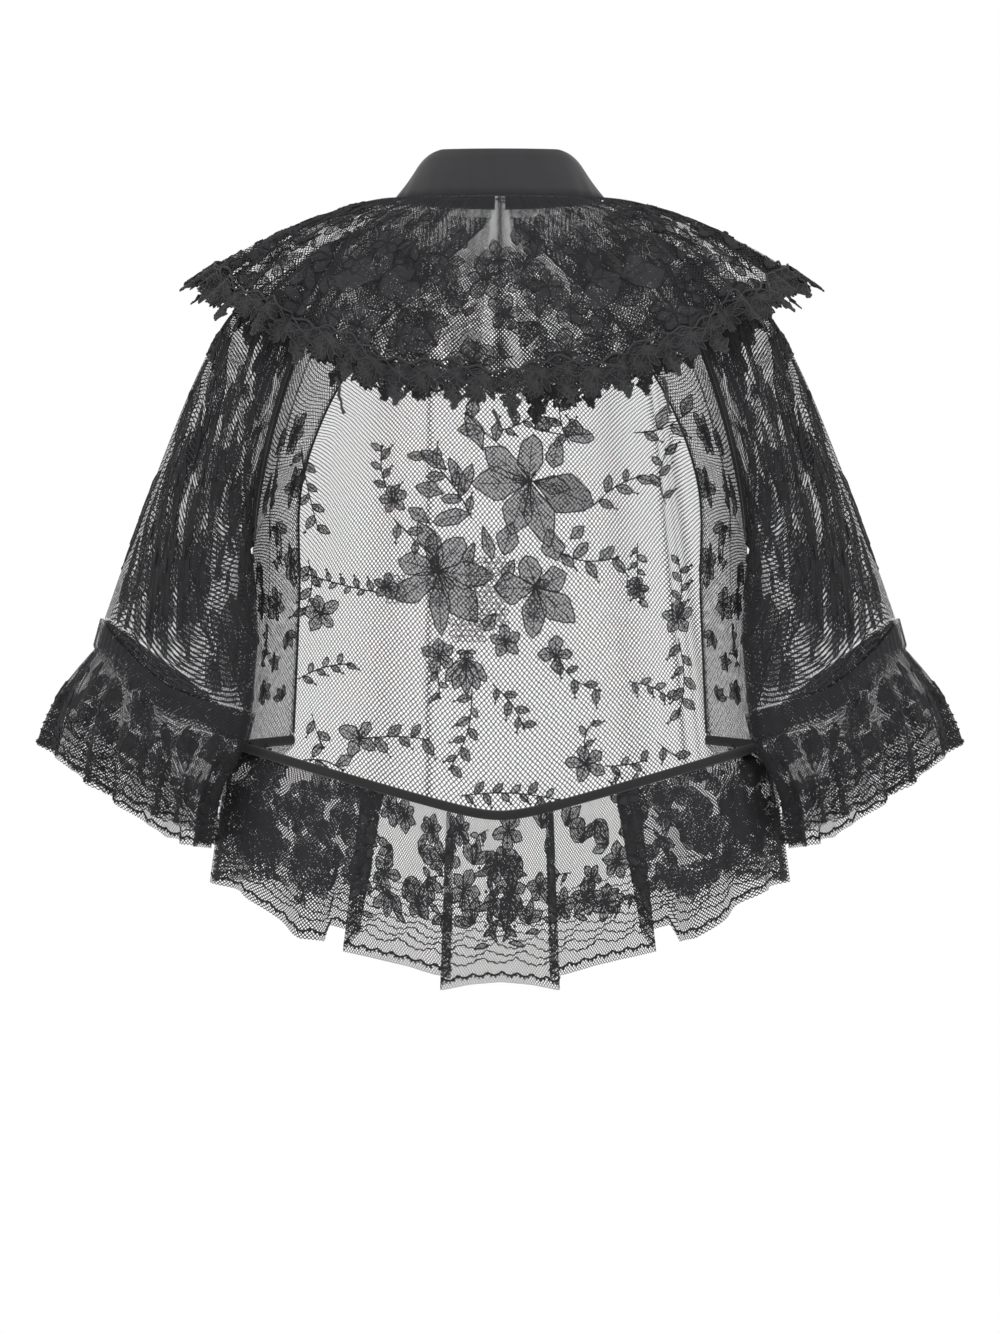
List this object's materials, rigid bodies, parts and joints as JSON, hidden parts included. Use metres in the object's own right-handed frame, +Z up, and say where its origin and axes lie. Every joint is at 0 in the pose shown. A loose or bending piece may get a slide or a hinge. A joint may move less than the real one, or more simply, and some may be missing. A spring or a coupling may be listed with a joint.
{
  "type": "lace capelet",
  "caption": "Short see-through black lace capelet with stand collar, gathered yoke ruffle, open fronts, bell sleeves and a pleated hem flounce.",
  "frame": {"origin": "centre of the neck opening at the height of the collar seam at the back", "axes": "+Z up towards the head; the wearer faces +Y; +X is the wearer's right, and the YZ plane is the plane of symmetry"},
  "size_m": [0.6586, 0.2764, 0.5962],
  "materials": {
    "lace": "sheer floral net lace",
    "cord_lace": "thick corded guipure lace",
    "cloth": "matte woven cloth",
    "stiffener": "stiff non-woven interfacing",
    "elastic": "braided elastic",
    "hook_metal": "black enamelled wire"
  },
  "bodies": {
    "root": {"collar_outer": "cloth", "collar_interfacing": "stiffener", "collar_facing": "cloth", "collar_hook_1": "hook_metal", "collar_eye_1": "hook_metal", "collar_hook_2": "hook_metal", "collar_eye_2": "hook_metal", "yoke_ruffle_back": "lace", "back_panel": "lace", "hem_binding_back": "cloth", "hem_flounce_back": "lace", "guipure_trim_back": "cord_lace", "yoke_ruffle_left": "lace", "guipure_trim_left": "cord_lace", "front_shoulder_left": "lace", "front_side_left": "lace", "front_edge_upper_left": "cloth", "armhole_seam_left": "cloth", "sleeve_cap_left": "lace", "yoke_ruffle_right": "lace", "guipure_trim_right": "cord_lace", "front_shoulder_right": "lace", "front_side_right": "lace", "front_edge_upper_right": "cloth", "armhole_seam_right": "cloth", "sleeve_cap_right": "lace"},
    "sleeve_left": {"sleeve_left": "lace", "cuff_casing_left": "cloth", "cuff_elastic_left": "elastic", "cuff_ruffle_left": "lace"},
    "front_left": {"front_panel_left": "lace", "front_edge_lower_left": "cloth", "hem_binding_left": "cloth", "hem_flounce_left": "lace"},
    "sleeve_right": {"sleeve_right": "lace", "cuff_casing_right": "cloth", "cuff_elastic_right": "elastic", "cuff_ruffle_right": "lace"},
    "front_right": {"front_panel_right": "lace", "front_edge_lower_right": "cloth", "hem_binding_right": "cloth", "hem_flounce_right": "lace"}
  },
  "joints": [
    {"name": "sleeve_lift_left", "type": "hinge", "parent": "root", "child": "sleeve_left", "pos_m": [-0.212, 0, -0.118], "axis": [0, 1, 0], "range_deg": [0, 25]},
    {"name": "front_swing_left", "type": "hinge", "parent": "root", "child": "front_left", "pos_m": [-0.18, 0.03, -0.395], "axis": [0.0888, -0.0127, 0.996], "range_deg": [0, 45]},
    {"name": "sleeve_lift_right", "type": "hinge", "parent": "root", "child": "sleeve_right", "pos_m": [0.212, 0, -0.118], "axis": [0, -1, 0], "range_deg": [0, 25]},
    {"name": "front_swing_right", "type": "hinge", "parent": "root", "child": "front_right", "pos_m": [0.18, 0.03, -0.395], "axis": [0.0888, 0.0127, -0.996], "range_deg": [0, 45]}
  ]
}
